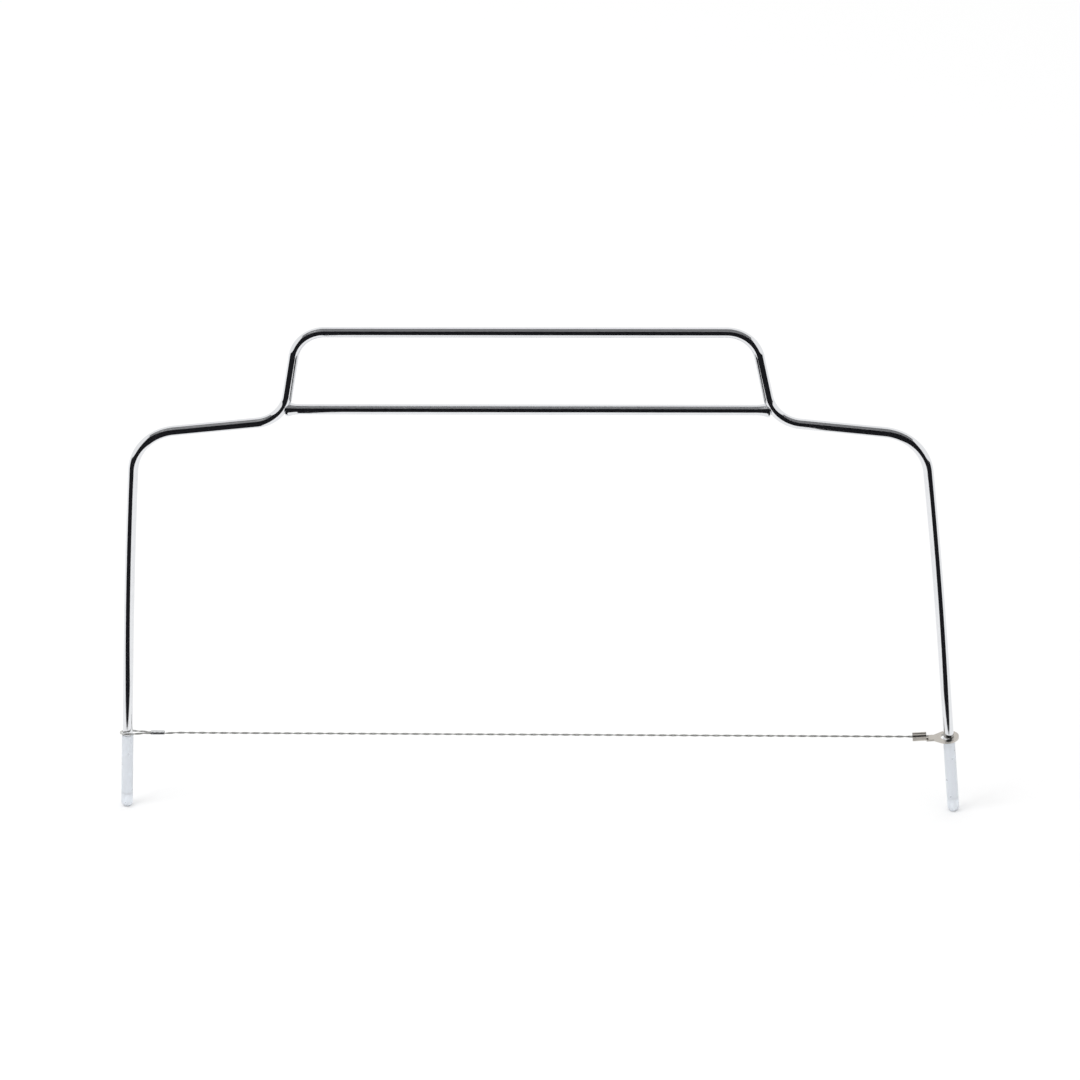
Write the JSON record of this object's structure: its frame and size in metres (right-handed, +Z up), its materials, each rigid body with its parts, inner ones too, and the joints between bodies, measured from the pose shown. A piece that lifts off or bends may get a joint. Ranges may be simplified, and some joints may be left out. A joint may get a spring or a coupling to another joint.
{
  "type": "cake leveler",
  "caption": "Hand cake leveler: a bent plated rod bow with a two-bar grip, clear foot caps and a twisted cutting wire held across its legs.",
  "frame": {"origin": "on the worktop, midway between the two feet, in the plane of the bow", "axes": "+X along the cutting wire to the user's right, -Y to the front, +Z up"},
  "size_m": [0.3306, 0.009, 0.2095],
  "materials": {
    "plated_rod": "bright nickel-chrome plate on steel rod",
    "plated_weld": "plated weld fillet, slightly uneven",
    "clear_vinyl": "translucent bluish vinyl, smooth",
    "wire_steel": "drawn stainless wire, two strands twisted",
    "nickel_sleeve": "nickel-plated copper, pressed",
    "tinned_terminal": "tinned copper sheet, stamped and crimped"
  },
  "bodies": {
    "bow": {"bow_rod": "plated_rod", "grip_bar": "plated_rod", "left_weld": "plated_weld", "right_weld": "plated_weld", "left_foot_cap": "clear_vinyl", "right_foot_cap": "clear_vinyl"},
    "cutter": {"wire_strand_a": "wire_steel", "wire_strand_b": "wire_steel", "crimp_sleeve": "nickel_sleeve", "ring_terminal": "tinned_terminal"}
  },
  "joints": [
    {"name": "wire_height", "type": "slide", "parent": "bow", "child": "cutter", "axis": [0, 0, 1], "range_m": [0, 0.015]}
  ]
}
